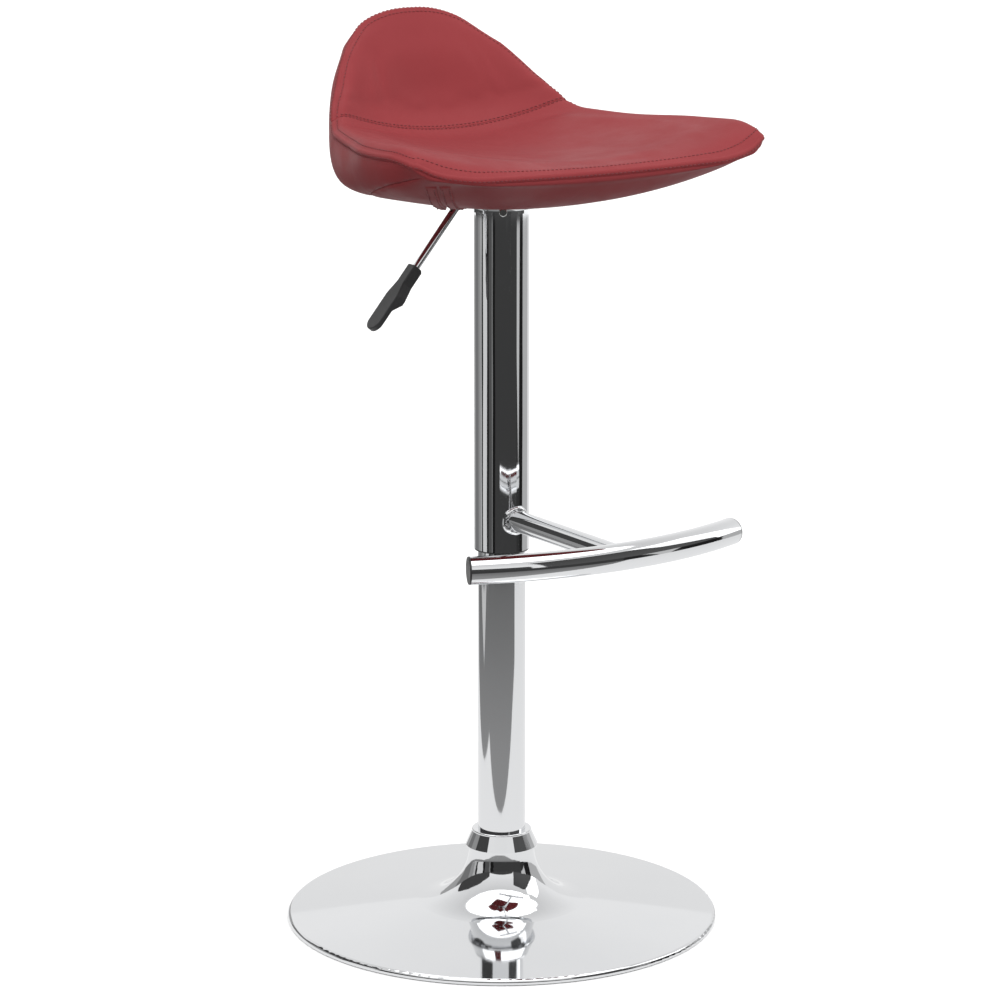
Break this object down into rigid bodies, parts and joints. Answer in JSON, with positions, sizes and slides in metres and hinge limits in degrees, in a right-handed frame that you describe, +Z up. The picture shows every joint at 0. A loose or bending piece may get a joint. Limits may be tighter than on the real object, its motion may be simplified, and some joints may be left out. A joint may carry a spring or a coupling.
{
  "type": "adjustable swivel stool",
  "caption": "Gas-lift swivel bar stool with a padded low-back seat in burgundy vinyl, chrome column, curved footrest and round chrome base.",
  "frame": {"origin": "centre of the round base on the floor", "axes": "+Z up along the column, +X the way the sitter faces, +Y to the sitter's left"},
  "size_m": [0.41, 0.405, 0.8435],
  "materials": {
    "chrome": "bright plated",
    "burgundy_vinyl": "satin, fine grain",
    "black_plastic": "moulded, satin",
    "zinc_steel": "zinc plated",
    "black_paint": "powder coated",
    "bare_steel": "machined",
    "polished_steel": "ground",
    "rubber": "moulded",
    "plywood": "raw moulded plywood"
  },
  "bodies": {
    "base": {"base_shell": "chrome", "floor_ring": "black_plastic", "base_weight": "bare_steel", "column_foot": "bare_steel", "foot_screws": "zinc_steel", "column_tube": "chrome", "base_collar": "chrome", "tube_bush": "black_plastic", "lower_race": "polished_steel"},
    "bearing_cage": {"ball_cage": "black_plastic", "bearing_balls": "polished_steel"},
    "spindle": {"piston_rod": "polished_steel", "piston": "polished_steel", "rod_clip": "zinc_steel", "upper_race": "polished_steel", "bump_stop": "rubber"},
    "seat": {"gas_cylinder": "black_paint", "cylinder_gland": "bare_steel", "sleeve_tube": "chrome", "sleeve_bush": "black_plastic", "sleeve_insert": "bare_steel", "sleeve_flange": "chrome", "flange_screws": "zinc_steel", "mount_socket": "black_paint", "mount_plate": "black_paint", "plate_spacers": "rubber", "seat_bolts": "zinc_steel", "bolt_washers": "zinc_steel", "tee_nuts": "zinc_steel", "lever_bracket": "black_paint", "lever_pin": "zinc_steel", "footrest_stem": "chrome", "footrest_bar": "chrome", "footrest_caps": "black_plastic", "seat_shell": "plywood", "seat_pad": "burgundy_vinyl", "back_pad": "burgundy_vinyl", "outer_band": "burgundy_vinyl", "under_cover": "burgundy_vinyl"},
    "lever": {"lever_rod": "chrome", "lever_handle": "black_plastic"},
    "valve": {"valve_pin": "polished_steel"}
  },
  "joints": [
    {"name": "seat_swivel", "type": "hinge", "parent": "base", "child": "spindle", "pos_m": [0, 0, 0.0325], "axis": [0, 0, 1], "continuous": true},
    {"name": "cage_roll", "type": "hinge", "parent": "base", "child": "bearing_cage", "pos_m": [0, 0, 0.0351], "axis": [0, 0, 1], "continuous": true},
    {"name": "seat_lift", "type": "slide", "parent": "spindle", "child": "seat", "axis": [0, 0, 1], "range_m": [-0.21, 0]},
    {"name": "lever_pull", "type": "hinge", "parent": "seat", "child": "lever", "pos_m": [0, -0.028, 0.69], "axis": [-1, 0, 0], "range_deg": [0, 7], "stiffness_Nm_per_rad": 2},
    {"name": "valve_press", "type": "slide", "parent": "seat", "child": "valve", "axis": [0, 0, 1], "range_m": [-0.004, 0]}
  ],
  "couplings": [
    {"joint": "cage_roll", "follows": "seat_swivel", "ratio": 0.5},
    {"joint": "valve_press", "follows": "lever_pull", "m_per_rad": -0.028}
  ]
}
